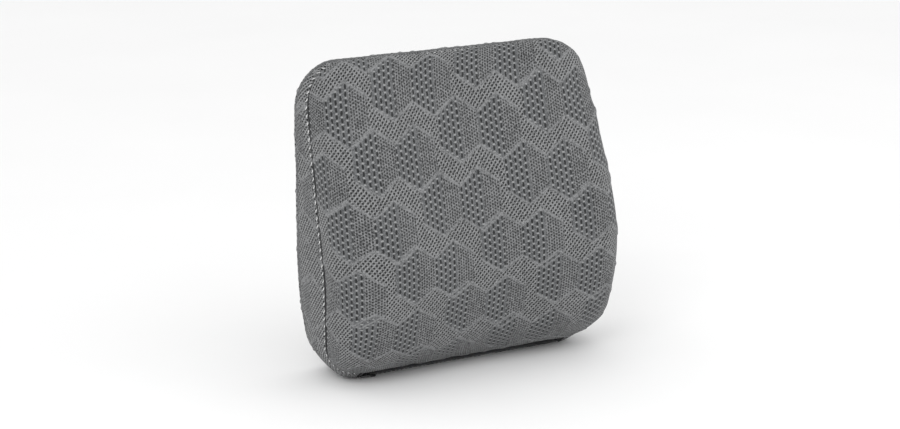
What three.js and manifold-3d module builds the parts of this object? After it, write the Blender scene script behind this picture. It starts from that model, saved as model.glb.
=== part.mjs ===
// Lumbar support cushion: a moulded foam core in a sewn liner, inside a zipped knitted cover.
// Millimetres. X runs across the cushion, -Y is the side the back leans on, Z is up.
import * as THREE from 'three';
import { LoftGeometry } from 'three/addons/geometries/LoftGeometry.js';
import { mergeVertices } from 'three/addons/utils/BufferGeometryUtils.js';
import Module from 'manifold-3d';

// Overall size of the closed cover
const WIDTH = 340;
const HEIGHT = 326;
const CORNER_RADIUS = 46;
const BACK_EDGE_RADIUS = 12;

// Depth of the side walls and rise of the front, at stations up the height (0 foot, 1 top)
const STATIONS = [0, 0.15, 0.35, 0.55, 0.75, 0.9, 1];
const WALL_DEPTHS = [67, 67, 66, 54, 42, 32, 21];
const CROWN_RISES = [20, 49, 67, 67, 44, 21, 10];

// Shape of the front and the walls
const CROWN_SHOULDER = 0.26;
const CHANNEL_DEPTH = 9;
const CHANNEL_HALF_WIDTH = 122;
const WALL_SWELL = 3;
const FOOT_LIP = 10;

// Cloth layers, from the outside in
const COVER_THICKNESS = 2.4;
const LINER_THICKNESS = 0.8;
const LAYER_CLEARANCE = 0.6;

// Seams
const SEAM_GROOVE = 2.2;
const SEAM_CLEARANCE = 0.3;
const SEAM_CORD_HEIGHT = 1.7;
const LINER_SEAM_GAP = 0.5;
const PANEL_END_GAP = 0.4;

// Zip
const ZIP_BAND = 13;
const TAPE_THICKNESS = 0.8;
const TAPE_DEPTH = 1;
const TAPE_GAP = 0.8;
const TOOTH_PITCH = 3.2;
const TOOTH_WIDTH = 1.2;
const TOOTH_LENGTH = 1.9;
const TOOTH_TIP_CLEARANCE = 0.4;
const SPINE_WIDTH = 1;
const CHAIN_HEIGHT = 1.4;
const ZIP_FIT = 0.05;
const ZIP_END_MARGIN = 6;
const STOP_LENGTH = 3;

// Slider and pull tab
const SLIDER_LENGTH = 9;
const SLIDER_PLATE = 1;
const SLIDER_FLANGE = 0.9;
const SLIDER_CLEARANCE = 0.3;
const BRIDGE_WIDTH = 1.6;
const BRIDGE_LENGTH = 6;
const BRIDGE_WALL = 0.9;
const PULL_BAR = 1;
const PULL_ARM = 1;
const PULL_LENGTH = 13;
const PULL_CLEARANCE = 0.3;
const PULL_TAB_WIDTH = 5.4;

// Mesh fineness
const SIDE_STEPS = 6;
const CORNER_STEPS = 5;
const CROWN_ANGLES = [90, 70, 50, 30, 12, 0];
const FACE_SCALES = [0.06, 0.24, 0.48];
const WALL_ROWS = [0.5, 0.8];
const BAND_SHARE = 0.35;
const EDGE_ANGLES = [0, 30, 60, 90];

const wasm = await Module();
wasm.setup();

const group = new THREE.Group();
group.name = 'lumbar_cushion';

const FABRIC = { color: 0x6e6f70, roughness: 0.95, metalness: 0 };
const THREAD = { color: 0x8f9091, roughness: 0.9, metalness: 0 };
const LINING = { color: 0xd8d8d4, roughness: 0.95, metalness: 0 };
const FOAM = { color: 0xefe9d8, roughness: 1, metalness: 0 };
const TAPE = { color: 0x3f4042, roughness: 0.9, metalness: 0 };
const NYLON = { color: 0x2c2d2f, roughness: 0.5, metalness: 0 };
const ENAMEL = { color: 0x17181a, roughness: 0.35, metalness: 0.6 };

function addMesh(name, geometry, look, parent = group) {
  const mesh = new THREE.Mesh(geometry, new THREE.MeshStandardMaterial(look));
  mesh.name = name;
  parent.add(mesh);
  return mesh;
}

// ---- Solids for joining and cutting ----

function toSolid(geometry) {
  const bare = new THREE.BufferGeometry();
  bare.setAttribute('position', geometry.getAttribute('position'));
  bare.setIndex(geometry.getIndex());
  const merged = mergeVertices(bare, 1e-4);
  return new wasm.Manifold(new wasm.Mesh({
    numProp: 3,
    vertProperties: new Float32Array(merged.getAttribute('position').array),
    triVerts: new Uint32Array(merged.getIndex().array),
  }));
}

function fromSolid(solid) {
  const mesh = solid.getMesh();
  const geometry = new THREE.BufferGeometry();
  geometry.setAttribute('position', new THREE.BufferAttribute(mesh.vertProperties, 3));
  geometry.setIndex(new THREE.BufferAttribute(mesh.triVerts, 1));
  geometry.computeVertexNormals();
  return geometry;
}

function boxSolid(minimum, maximum) {
  const size = new THREE.Vector3().subVectors(maximum, minimum);
  const centre = new THREE.Vector3().addVectors(maximum, minimum).multiplyScalar(0.5);
  return toSolid(new THREE.BoxGeometry(size.x, size.y, size.z).translate(centre.x, centre.y, centre.z));
}

// ---- The cushion's skin: one point for each direction round the outline and each row ----

const wallDepth = new THREE.CubicInterpolant(STATIONS, WALL_DEPTHS, 1, [0]);
const crownRise = new THREE.CubicInterpolant(STATIONS, CROWN_RISES, 1, [0]);
const wallDepthAt = (z) => wallDepth.evaluate(z / HEIGHT)[0];
const crownRiseAt = (z) => crownRise.evaluate(z / HEIGHT)[0];

const halfFlat = WIDTH / 2 - CORNER_RADIUS;
const midHeight = HEIGHT / 2;

// Directions start at the foot's left end and run anticlockwise seen from the front
function outlineDirections() {
  const corners = [
    [halfFlat, CORNER_RADIUS],
    [halfFlat, HEIGHT - CORNER_RADIUS],
    [-halfFlat, HEIGHT - CORNER_RADIUS],
    [-halfFlat, CORNER_RADIUS],
  ];
  const directions = [];
  corners.forEach(([x, z], corner) => {
    const [fromX, fromZ] = corners[(corner + 3) % 4];
    const turn = (corner - 1) * Math.PI / 2;
    const outward = new THREE.Vector2(Math.cos(turn), Math.sin(turn));
    for (let step = 0; step < SIDE_STEPS; step++) {
      const share = step / SIDE_STEPS;
      directions.push({
        x: THREE.MathUtils.lerp(fromX, x, share) + CORNER_RADIUS * outward.x,
        z: THREE.MathUtils.lerp(fromZ, z, share) + CORNER_RADIUS * outward.y,
        nx: outward.x,
        nz: outward.y,
      });
    }
    for (let step = 0; step < CORNER_STEPS; step++) {
      const angle = turn + step / CORNER_STEPS * Math.PI / 2;
      directions.push({
        x: x + CORNER_RADIUS * Math.cos(angle),
        z: z + CORNER_RADIUS * Math.sin(angle),
        nx: Math.cos(angle),
        nz: Math.sin(angle),
      });
    }
  });
  return directions;
}

const DIRECTIONS = outlineDirections();
const footShare = (direction) => Math.max(0, -direction.nz) ** 2;

// Distance of the wall inside the outline, at a depth behind the front seam
function wallInset(direction, behindSeam) {
  const depth = wallDepthAt(direction.z);
  const swell = WALL_SWELL * (1 - Math.sin(Math.PI * behindSeam / depth));
  const lip = FOOT_LIP * Math.max(0, 1 - behindSeam / ZIP_BAND);
  return THREE.MathUtils.lerp(swell, lip, footShare(direction));
}

function wallPoint(direction, behindSeam, extraInset = 0) {
  const inset = wallInset(direction, behindSeam) + extraInset;
  const depth = wallDepthAt(direction.z);
  return new THREE.Vector3(
    direction.x - direction.nx * inset,
    behindSeam - depth,
    direction.z - direction.nz * inset,
  );
}

function facePoint(direction, scale, crown) {
  const edge = wallPoint(direction, 0);
  const x = edge.x * scale;
  const z = midHeight + (edge.z - midHeight) * scale;
  const across = Math.min(1, Math.abs(x) / CHANNEL_HALF_WIDTH);
  const channel = CHANNEL_DEPTH * Math.cos(across * Math.PI / 2) ** 2;
  return new THREE.Vector3(x, -wallDepthAt(z) - crown * (crownRiseAt(z) - channel), z);
}

// Rows from the middle of the front, over the walls, to the edge of the flat back
function skinRows() {
  const rows = FACE_SCALES.map((scale) => (d) => facePoint(d, scale, 1));
  for (const degrees of CROWN_ANGLES) {
    const angle = THREE.MathUtils.degToRad(degrees);
    const scale = 1 - CROWN_SHOULDER * (1 - Math.cos(angle));
    rows.push((d) => facePoint(d, scale, Math.sin(angle)));
  }
  const straight = (d) => wallDepthAt(d.z) - BACK_EDGE_RADIUS;
  const band = (d) => Math.min(ZIP_BAND, straight(d) * BAND_SHARE);
  rows.push((d) => wallPoint(d, band(d)));
  for (const share of WALL_ROWS) {
    rows.push((d) => wallPoint(d, THREE.MathUtils.lerp(band(d), straight(d), share)));
  }
  for (const degrees of EDGE_ANGLES) {
    const angle = THREE.MathUtils.degToRad(degrees);
    const inset = BACK_EDGE_RADIUS * (1 - Math.cos(angle));
    const fromBack = BACK_EDGE_RADIUS * (1 - Math.sin(angle));
    rows.push((d) => wallPoint(d, wallDepthAt(d.z) - fromBack, inset));
  }
  return rows;
}

const skin = skinRows().map((row) => DIRECTIONS.map(row));
const SEAM_ROW = FACE_SCALES.length + CROWN_ANGLES.length - 1;
const REAR_SEAM_ROW = SEAM_ROW + WALL_ROWS.length + 2;

function outwardNormal(row, index) {
  if (row === skin.length - 1) return new THREE.Vector3(0, 1, 0);
  const count = DIRECTIONS.length;
  const along = new THREE.Vector3().subVectors(
    skin[row][(index + 1) % count],
    skin[row][(index + count - 1) % count],
  );
  const before = skin[Math.max(0, row - 1)][index];
  const after = skin[row + 1][index];
  return new THREE.Vector3().subVectors(after, before).cross(along).normalize();
}

const normals = skin.map((points, row) => points.map((point, index) => outwardNormal(row, index)));

// The whole cushion as one closed solid, a given depth below its skin
function skinSolid(depth) {
  const sections = skin.map((points, row) => points.map(
    (point, index) => point.clone().addScaledVector(normals[row][index], -depth),
  ));
  return toSolid(new LoftGeometry(sections.reverse(), { capStart: true, capEnd: true }));
}

// ---- Cutters that part the cover along its seams ----

const reach = WIDTH;

// Everything in front of the front seam, moved back by shift
function frontCutter(shift) {
  const edge = skin[SEAM_ROW].slice(SIDE_STEPS, 2 * (SIDE_STEPS + CORNER_STEPS) + 1);
  const outline = new THREE.Shape();
  outline.moveTo(-reach, -reach);
  outline.lineTo(edge[0].y + shift, -reach);
  edge.forEach((point) => outline.lineTo(point.y + shift, point.z));
  outline.lineTo(edge.at(-1).y + shift, HEIGHT + reach);
  outline.lineTo(-reach, HEIGHT + reach);
  const prism = new THREE.ExtrudeGeometry(outline, { depth: 2 * reach, bevelEnabled: false });
  prism.translate(0, 0, -reach);
  const placing = new THREE.Matrix4().makeBasis(
    new THREE.Vector3(0, 1, 0),
    new THREE.Vector3(0, 0, 1),
    new THREE.Vector3(1, 0, 0),
  );
  return toSolid(prism.applyMatrix4(placing));
}

// Everything behind a plane
function rearCutter(y) {
  return boxSolid(new THREE.Vector3(-reach, y, -reach), new THREE.Vector3(reach, reach, HEIGHT + reach));
}

// The foot between the two bottom corners, up to the zip's front edge
function footCutter(halfLength) {
  return boxSolid(
    new THREE.Vector3(-halfLength, -reach, -reach),
    new THREE.Vector3(halfLength, reach, midHeight),
  );
}

// ---- The zip's own frame: X along it, Y across it towards the front, Z outwards ----

const zipFront = wallPoint(DIRECTIONS[0], 0);
const zipRear = wallPoint(DIRECTIONS[0], ZIP_BAND);
const zipAcross = new THREE.Vector3().subVectors(zipFront, zipRear).normalize();
const zipAlong = new THREE.Vector3(1, 0, 0);
const zipOutward = new THREE.Vector3().crossVectors(zipAlong, zipAcross).normalize();
const zipMiddle = new THREE.Vector3().addVectors(zipFront, zipRear).multiplyScalar(0.5).setX(0);
const zipPlacing = new THREE.Matrix4().makeBasis(zipAlong, zipAcross, zipOutward).setPosition(zipMiddle);
const zipWidth = zipFront.distanceTo(zipRear);

function placeZip(geometry) {
  return geometry.applyMatrix4(zipPlacing);
}

function zipBox(minimum, maximum) {
  const size = new THREE.Vector3().subVectors(maximum, minimum);
  const centre = new THREE.Vector3().addVectors(maximum, minimum).multiplyScalar(0.5);
  return new THREE.BoxGeometry(size.x, size.y, size.z).translate(centre.x, centre.y, centre.z);
}

// ---- Cover panels, liner and foam ----

const coverShell = skinSolid(0).subtract(skinSolid(COVER_THICKNESS));
const linerDepth = COVER_THICKNESS + LAYER_CLEARANCE;
const foamDepth = linerDepth + LINER_THICKNESS + LAYER_CLEARANCE;
const linerShell = skinSolid(linerDepth).subtract(skinSolid(linerDepth + LINER_THICKNESS));

const rearSeamY = -BACK_EDGE_RADIUS;
const halfGroove = SEAM_GROOVE / 2;
const frontPanel = coverShell.intersect(frontCutter(-halfGroove));
const backPanel = coverShell.intersect(rearCutter(rearSeamY + halfGroove));
const wallRing = coverShell.subtract(frontCutter(halfGroove)).subtract(rearCutter(rearSeamY - halfGroove));

const zipOpening = toSolid(placeZip(zipBox(
  new THREE.Vector3(-reach, -zipWidth / 2, -reach),
  new THREE.Vector3(reach, reach, reach),
)));

addMesh('front_panel', fromSolid(frontPanel), FABRIC);
addMesh('back_panel', fromSolid(backPanel), FABRIC);
addMesh('border_strip', fromSolid(wallRing.subtract(footCutter(halfFlat))), FABRIC);
const footStrip = wallRing.intersect(footCutter(halfFlat - PANEL_END_GAP)).subtract(zipOpening);
addMesh('bottom_strip', fromSolid(footStrip), FABRIC);

addMesh('liner_front', fromSolid(linerShell.subtract(rearCutter(rearSeamY - LINER_SEAM_GAP / 2))), LINING);
addMesh('liner_back', fromSolid(linerShell.intersect(rearCutter(rearSeamY + LINER_SEAM_GAP / 2))), LINING);
addMesh('foam_core', fromSolid(skinSolid(foamDepth)), FOAM);

// ---- Seam cords, sunk in the grooves between the panels ----

function cordSection(row, index, seamDepthAt) {
  const middle = skin[row][index];
  const outward = normals[row][index].clone().setY(0).normalize();
  const half = halfGroove - SEAM_CLEARANCE;
  const corner = (side, height) => {
    const point = middle.clone().addScaledVector(outward, height);
    point.y += side * half + seamDepthAt(middle.z) - seamDepthAt(point.z);
    return point;
  };
  return [
    corner(-1, 0),
    corner(1, 0),
    corner(1, -SEAM_CORD_HEIGHT),
    corner(-1, -SEAM_CORD_HEIGHT),
  ];
}

const frontCord = [];
for (let index = SIDE_STEPS; index <= DIRECTIONS.length; index++) {
  frontCord.push(cordSection(SEAM_ROW, index % DIRECTIONS.length, wallDepthAt));
}
addMesh('front_seam_cord', new LoftGeometry(frontCord, { capStart: true, capEnd: true }), THREAD);

const rearCord = DIRECTIONS.map((direction, index) => cordSection(REAR_SEAM_ROW, index, () => BACK_EDGE_RADIUS));
rearCord.push(rearCord[0]);
addMesh('rear_seam_cord', new LoftGeometry(rearCord, { capStart: false, capEnd: false }), THREAD);

// ---- Zip tapes, teeth and stops ----

const zipHalfLength = halfFlat - PANEL_END_GAP;
const tapeTop = -TAPE_DEPTH;
const chainBase = tapeTop + ZIP_FIT;
const chainTop = chainBase + CHAIN_HEIGHT;
const tapeOuterEdge = zipWidth / 2 - SEAM_CLEARANCE;

function zipTape(side) {
  const near = side * TAPE_GAP / 2;
  const far = side * tapeOuterEdge;
  return placeZip(zipBox(
    new THREE.Vector3(-zipHalfLength, Math.min(near, far), tapeTop - TAPE_THICKNESS),
    new THREE.Vector3(zipHalfLength, Math.max(near, far), tapeTop),
  ));
}

const chainHalfLength = zipHalfLength - ZIP_END_MARGIN - STOP_LENGTH;
const toothCount = Math.floor((2 * chainHalfLength - TOOTH_PITCH) / TOOTH_PITCH);
const toothTip = TOOTH_LENGTH / 2;
const spineInner = toothTip + TOOTH_TIP_CLEARANCE;
const spineOuter = spineInner + SPINE_WIDTH;

// A row of teeth on one tape; the other row sits half a pitch along
function zipTeeth(side) {
  const start = -toothCount * TOOTH_PITCH / 2 - TOOTH_PITCH / 4 * side;
  const comb = new THREE.Shape();
  comb.moveTo(start, side * spineInner);
  for (let tooth = 0; tooth < toothCount; tooth++) {
    const middle = start + (tooth + 0.5) * TOOTH_PITCH;
    comb.lineTo(middle - TOOTH_WIDTH / 2, side * spineInner);
    comb.lineTo(middle - TOOTH_WIDTH / 2, -side * toothTip);
    comb.lineTo(middle + TOOTH_WIDTH / 2, -side * toothTip);
    comb.lineTo(middle + TOOTH_WIDTH / 2, side * spineInner);
  }
  comb.lineTo(start + toothCount * TOOTH_PITCH, side * spineInner);
  comb.lineTo(start + toothCount * TOOTH_PITCH, side * spineOuter);
  comb.lineTo(start, side * spineOuter);
  const row = new THREE.ExtrudeGeometry(comb, { depth: CHAIN_HEIGHT, bevelEnabled: false });
  return placeZip(row.translate(0, 0, chainBase));
}

function zipStop(end) {
  const middle = end * (chainHalfLength + STOP_LENGTH);
  return placeZip(zipBox(
    new THREE.Vector3(middle - STOP_LENGTH / 2, -spineOuter, chainBase),
    new THREE.Vector3(middle + STOP_LENGTH / 2, spineOuter, chainTop),
  ));
}

addMesh('zip_tape_front', zipTape(1), TAPE);
addMesh('zip_tape_rear', zipTape(-1), TAPE);
addMesh('zip_teeth_front', zipTeeth(1), NYLON);
addMesh('zip_teeth_rear', zipTeeth(-1), NYLON);
addMesh('zip_stop_left', zipStop(-1), NYLON);
addMesh('zip_stop_right', zipStop(1), NYLON);

// ---- Slider: a plate with two flanges over the teeth, and a bridge that holds the pull ----

const sliderX = -chainHalfLength + SLIDER_LENGTH / 2 + SLIDER_CLEARANCE;
const plateBase = chainTop + SLIDER_CLEARANCE;
const plateTop = plateBase + SLIDER_PLATE;
const flangeInner = spineOuter + SLIDER_CLEARANCE;
const flangeOuter = flangeInner + SLIDER_FLANGE;
const flangeFoot = tapeTop + SLIDER_CLEARANCE;
const barHeight = plateTop + PULL_CLEARANCE + PULL_BAR / 2;
const bridgeInside = barHeight + PULL_BAR / 2 + PULL_CLEARANCE;
const bridgeTop = bridgeInside + BRIDGE_WALL;

const channel = new THREE.Shape([
  new THREE.Vector2(-flangeOuter, flangeFoot),
  new THREE.Vector2(-flangeInner, flangeFoot),
  new THREE.Vector2(-flangeInner, plateBase),
  new THREE.Vector2(flangeInner, plateBase),
  new THREE.Vector2(flangeInner, flangeFoot),
  new THREE.Vector2(flangeOuter, flangeFoot),
  new THREE.Vector2(flangeOuter, plateTop - SLIDER_PLATE / 2),
  new THREE.Vector2(flangeInner, plateTop),
  new THREE.Vector2(-flangeInner, plateTop),
  new THREE.Vector2(-flangeOuter, plateTop - SLIDER_PLATE / 2),
]);
const sliderBody = new THREE.ExtrudeGeometry(channel, { depth: SLIDER_LENGTH, bevelEnabled: false });
sliderBody.translate(0, 0, -SLIDER_LENGTH / 2);
sliderBody.applyMatrix4(new THREE.Matrix4().makeBasis(
  new THREE.Vector3(0, 1, 0),
  new THREE.Vector3(0, 0, 1),
  new THREE.Vector3(1, 0, 0),
));

const bridgeOutline = new THREE.Shape([
  new THREE.Vector2(-BRIDGE_LENGTH / 2, plateTop - SLIDER_PLATE / 2),
  new THREE.Vector2(BRIDGE_LENGTH / 2, plateTop - SLIDER_PLATE / 2),
  new THREE.Vector2(BRIDGE_LENGTH / 2, bridgeInside),
  new THREE.Vector2(BRIDGE_LENGTH / 2 - BRIDGE_WALL, bridgeTop),
  new THREE.Vector2(-BRIDGE_LENGTH / 2 + BRIDGE_WALL, bridgeTop),
  new THREE.Vector2(-BRIDGE_LENGTH / 2, bridgeInside),
]);
const bridgeEye = new THREE.Path([
  new THREE.Vector2(-BRIDGE_LENGTH / 2 + BRIDGE_WALL, plateTop),
  new THREE.Vector2(-BRIDGE_LENGTH / 2 + BRIDGE_WALL, bridgeInside),
  new THREE.Vector2(BRIDGE_LENGTH / 2 - BRIDGE_WALL, bridgeInside),
  new THREE.Vector2(BRIDGE_LENGTH / 2 - BRIDGE_WALL, plateTop),
]);
bridgeOutline.holes.push(bridgeEye);
const bridge = new THREE.ExtrudeGeometry(bridgeOutline, { depth: BRIDGE_WIDTH, bevelEnabled: false });
bridge.translate(0, 0, -BRIDGE_WIDTH / 2);
bridge.rotateX(Math.PI / 2);

const slider = fromSolid(toSolid(sliderBody).add(toSolid(bridge)));
addMesh('zip_slider', placeZip(slider.translate(sliderX, 0, 0)), ENAMEL);

// ---- Pull tab: a bar through the bridge, two arms beside it, and the tab ----

const armInner = BRIDGE_WIDTH / 2 + PULL_CLEARANCE;
const armOuter = armInner + PULL_ARM;
const tabStart = BRIDGE_LENGTH / 2 + PULL_CLEARANCE;
const pullOutline = new THREE.Shape([
  new THREE.Vector2(PULL_BAR / 2, -armOuter),
  new THREE.Vector2(PULL_BAR / 2, armOuter),
  new THREE.Vector2(-tabStart, armOuter),
  new THREE.Vector2(-PULL_LENGTH + 1, PULL_TAB_WIDTH / 2),
  new THREE.Vector2(-PULL_LENGTH, PULL_TAB_WIDTH / 2 - 1),
  new THREE.Vector2(-PULL_LENGTH, -PULL_TAB_WIDTH / 2 + 1),
  new THREE.Vector2(-PULL_LENGTH + 1, -PULL_TAB_WIDTH / 2),
  new THREE.Vector2(-tabStart, -armOuter),
]);
pullOutline.holes.push(new THREE.Path([
  new THREE.Vector2(-PULL_BAR / 2, -armInner),
  new THREE.Vector2(-tabStart, -armInner),
  new THREE.Vector2(-tabStart, armInner),
  new THREE.Vector2(-PULL_BAR / 2, armInner),
]));
const pull = new THREE.ExtrudeGeometry(pullOutline, { depth: PULL_BAR, bevelEnabled: false });
pull.translate(sliderX, 0, barHeight - PULL_BAR / 2);
addMesh('zip_pull', placeZip(pull), ENAMEL);

// The origin is under the middle of the whole cushion, front to back
const wholeBox = new THREE.Box3().setFromObject(group);
group.position.y = -(wholeBox.min.y + wholeBox.max.y) / 2;

export default group;
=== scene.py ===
# %% [markdown]
# # A lumbar support cushion
# The real cushion is a block of slow-recovery foam in a sewn cover. The cover has four panels of grey
# jacquard knit: a front that bulges, a narrow wall round the sides, a strip across the foot and a flat back.
# A zip runs across the foot, along the front panel's lower edge. Each panel is made here as its own closed
# piece of cloth, on one shared shape, so that the seams between them line up.

# %% Load the frame
import math
import bmesh
import bpy
import numpy as np
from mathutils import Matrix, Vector


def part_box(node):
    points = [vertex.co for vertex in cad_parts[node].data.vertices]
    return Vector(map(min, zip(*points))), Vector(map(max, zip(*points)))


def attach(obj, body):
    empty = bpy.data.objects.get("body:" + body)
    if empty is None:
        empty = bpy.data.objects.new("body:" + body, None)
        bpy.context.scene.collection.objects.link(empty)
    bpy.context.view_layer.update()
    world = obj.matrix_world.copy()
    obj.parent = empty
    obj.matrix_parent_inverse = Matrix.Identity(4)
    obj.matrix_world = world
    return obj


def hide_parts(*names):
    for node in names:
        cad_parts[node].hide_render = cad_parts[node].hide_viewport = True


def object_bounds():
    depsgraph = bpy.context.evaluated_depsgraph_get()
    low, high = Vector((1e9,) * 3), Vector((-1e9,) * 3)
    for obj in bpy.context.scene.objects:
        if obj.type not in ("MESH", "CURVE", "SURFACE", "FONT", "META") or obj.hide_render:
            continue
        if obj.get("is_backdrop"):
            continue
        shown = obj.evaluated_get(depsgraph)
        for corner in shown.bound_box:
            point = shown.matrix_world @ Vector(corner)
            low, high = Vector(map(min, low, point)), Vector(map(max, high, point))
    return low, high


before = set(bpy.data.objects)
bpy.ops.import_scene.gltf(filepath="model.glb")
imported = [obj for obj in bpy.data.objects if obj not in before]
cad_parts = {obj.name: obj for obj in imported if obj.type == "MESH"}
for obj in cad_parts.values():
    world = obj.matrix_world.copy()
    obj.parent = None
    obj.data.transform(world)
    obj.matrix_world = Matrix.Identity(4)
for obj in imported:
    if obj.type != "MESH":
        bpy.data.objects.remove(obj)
CAD_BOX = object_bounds()
scene = bpy.context.scene
MM = 0.001
print("frame:", len(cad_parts), "nodes, box", [round(v / MM) for v in CAD_BOX[1] - CAD_BOX[0]], "mm")

# %% [markdown]
# ## The cushion's shape
# A cushion could be drawn as a subdivided box, but its walls get thinner towards the top and its front
# rises most at a third of the height. A rule says that better: an outline with round corners, a wall depth
# and a front rise that both change with height, and a shallow channel down the middle for the spine.

# %% Sizes
WIDTH = 2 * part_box("border_strip")[1].x
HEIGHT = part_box("rear_seam_cord")[1].z
BACK_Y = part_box("back_panel")[1].y
CORNER_RADIUS = 46 * MM
BACK_EDGE_RADIUS = 12 * MM
STATIONS = np.array([0, 0.15, 0.35, 0.55, 0.75, 0.9, 1])
WALL_DEPTHS = np.array([67, 67, 66, 54, 42, 32, 21]) * MM
CROWN_RISES = np.array([20, 49, 67, 67, 44, 21, 10]) * MM
CROWN_SHOULDER = 0.26
CHANNEL_DEPTH = 9 * MM
CHANNEL_HALF_WIDTH = 122 * MM
WALL_SWELL = 3 * MM
FOOT_LIP = 10 * MM
ZIP_BAND = 13 * MM
HALF_X = WIDTH / 2 - CORNER_RADIUS
HALF_Z = HEIGHT / 2 - CORNER_RADIUS
print("cushion:", round(WIDTH / MM), "x", round(HEIGHT / MM), "mm, back at y", round(BACK_Y / MM, 1))


# %% Smooth change with height
def with_height(values, z):
    """The smooth curve through values at the stations, read at the heights z."""
    share = np.clip(z / HEIGHT, 0, 1)
    slopes = np.gradient(values, STATIONS)
    i = np.clip(np.searchsorted(STATIONS, share) - 1, 0, len(STATIONS) - 2)
    span = STATIONS[i + 1] - STATIONS[i]
    t = (share - STATIONS[i]) / span
    rise = (2 * t**3 - 3 * t**2 + 1) * values[i] + (3 * t**2 - 2 * t**3) * values[i + 1]
    return rise + span * ((t**3 - 2 * t**2 + t) * slopes[i] + (t**3 - t**2) * slopes[i + 1])


# %% The outline, as a journey of four sides
def outline(t):
    """Position and outward direction at t: 0 to 1 is the foot, then the right side, top and left."""
    side = np.floor(t).astype(int) % 4
    level = side % 2 == 0
    straight = np.where(level, HALF_X, HALF_Z)
    beyond = np.where(level, HALF_Z, HALF_X)
    from_middle = (t - np.floor(t) - 0.5) * (2 * straight + math.pi / 2 * CORNER_RADIUS)
    along = np.clip(from_middle, -straight, straight)
    turn = (from_middle - along) / CORNER_RADIUS
    forward = np.array([(1, 0), (0, 1), (-1, 0), (0, -1)])[side]
    outward = np.array([(0, -1), (1, 0), (0, 1), (-1, 0)])[side]
    sine, cosine = np.sin(turn)[..., None], np.cos(turn)[..., None]
    place = forward * along[..., None] + outward * beyond[..., None]
    direction = forward * sine + outward * cosine
    return place + direction * CORNER_RADIUS + (0, HEIGHT / 2), direction


def side_end(straight):
    """Where on a side's journey its straight run starts."""
    return 0.5 - straight / (2 * straight + math.pi / 2 * CORNER_RADIUS)


# %% Soft corners
CORNER_TUCK = 18 * MM
TUCK_HEIGHT = 120 * MM
TUCK_START, TUCK_END = 110 * MM, 165 * MM
TUCK_POWER = 1.6
TOP_LIFT = 3 * MM
TOP_FROM, TOP_SPAN = 0.8, 0.2


def softened(points):
    """Points with the rear lower corners drawn in, as tight cloth rounds them, and the top a little full."""
    x, y, z = np.moveaxis(points, -1, 0)
    behind = np.clip(1 - (BACK_Y - y) / with_height(WALL_DEPTHS, z), 0, 1)
    low = np.clip(1 - z / TUCK_HEIGHT, 0, 1) ** TUCK_POWER
    share = np.clip((np.abs(x) - TUCK_START) / (TUCK_END - TUCK_START), 0, 1)
    outer = share * share * (3 - 2 * share)
    high = np.clip((z / HEIGHT - TOP_FROM) / TOP_SPAN, 0, 1) ** 2
    return np.stack([x - np.sign(x) * CORNER_TUCK * low * behind * outer, y, z + TOP_LIFT * high], -1)


# %% Walls, front and back as surfaces
FRONT_FLAT_SHARE = 0.6
BACK_FLAT_SHARE = 0.86


def drawn_wall(t, behind, extra=0.0):
    """A point on the wall, at a distance behind the front seam."""
    place, direction = outline(t)
    depth = with_height(WALL_DEPTHS, place[..., 1])
    foot = np.maximum(0, -direction[..., 1]) ** 2
    swell = WALL_SWELL * (1 - np.sin(math.pi * np.clip(behind / depth, 0, 1)))
    lip = FOOT_LIP * np.maximum(0, 1 - behind / ZIP_BAND)
    inset = swell * (1 - foot) + lip * foot + extra
    x, z = np.moveaxis(place - direction * inset[..., None], -1, 0)
    return np.stack([x, BACK_Y - depth + behind, z], -1)


def wall(t, behind):
    """A point on the wall, with the corners drawn in."""
    return softened(drawn_wall(t, behind))


def wall_depth(t):
    """How deep the wall is, from the front seam to the back."""
    return with_height(WALL_DEPTHS, outline(t)[0][..., 1])


def shoulder(m):
    """How far out (scale) and how far up (angle) the front is, from its middle (m 0) to its seam (m 1)."""
    angle = (1 - np.clip((m - FRONT_FLAT_SHARE) / (1 - FRONT_FLAT_SHARE), 0, 1)) * math.pi / 2
    inner = (1 - CROWN_SHOULDER) * m / FRONT_FLAT_SHARE
    scale = np.where(m < FRONT_FLAT_SHARE, inner, 1 - CROWN_SHOULDER * (1 - np.cos(angle)))
    return scale, angle


def front(t, m):
    """A point on the bulging front."""
    scale, angle = shoulder(m)
    edge = drawn_wall(t, np.zeros_like(t))
    x = edge[..., 0] * scale
    z = HEIGHT / 2 + (edge[..., 2] - HEIGHT / 2) * scale
    channel = CHANNEL_DEPTH * np.cos(np.minimum(1, np.abs(x) / CHANNEL_HALF_WIDTH) * math.pi / 2) ** 2
    rise = np.sin(angle) * (with_height(CROWN_RISES, z) - channel)
    return softened(np.stack([x, BACK_Y - with_height(WALL_DEPTHS, z) - rise, z], -1))


def back(t, m):
    """A point on the back: flat, then rolled over the rear edge to its seam."""
    angle = np.clip((m - BACK_FLAT_SHARE) / (1 - BACK_FLAT_SHARE), 0, 1) * math.pi / 2
    inset = BACK_EDGE_RADIUS * (1 - np.sin(angle))
    fall = BACK_EDGE_RADIUS * (1 - np.cos(angle))
    x, y, z = np.moveaxis(drawn_wall(t, wall_depth(t) - fall, inset), -1, 0)
    scale = np.minimum(1, m / BACK_FLAT_SHARE)
    return softened(np.stack([x * scale, y, HEIGHT / 2 + (z - HEIGHT / 2) * scale], -1))


# %% A square grid bent to the outline
def square_grid(count):
    """Grid places as (t, m): rings of the square become rings of the panel, so its quads stay even."""
    a, b = np.meshgrid(np.linspace(-1, 1, count), np.linspace(-1, 1, count))
    m = np.maximum(np.abs(a), np.abs(b))
    safe = np.maximum(m, 1e-9)
    t = np.select(
        [b <= -m + 1e-12, a >= m - 1e-12, b >= m - 1e-12],
        [(a / safe + 1) / 2, 1 + (b / safe + 1) / 2, 2 + (1 - a / safe) / 2],
        3 + (1 - b / safe) / 2,
    )
    return t, m


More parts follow.
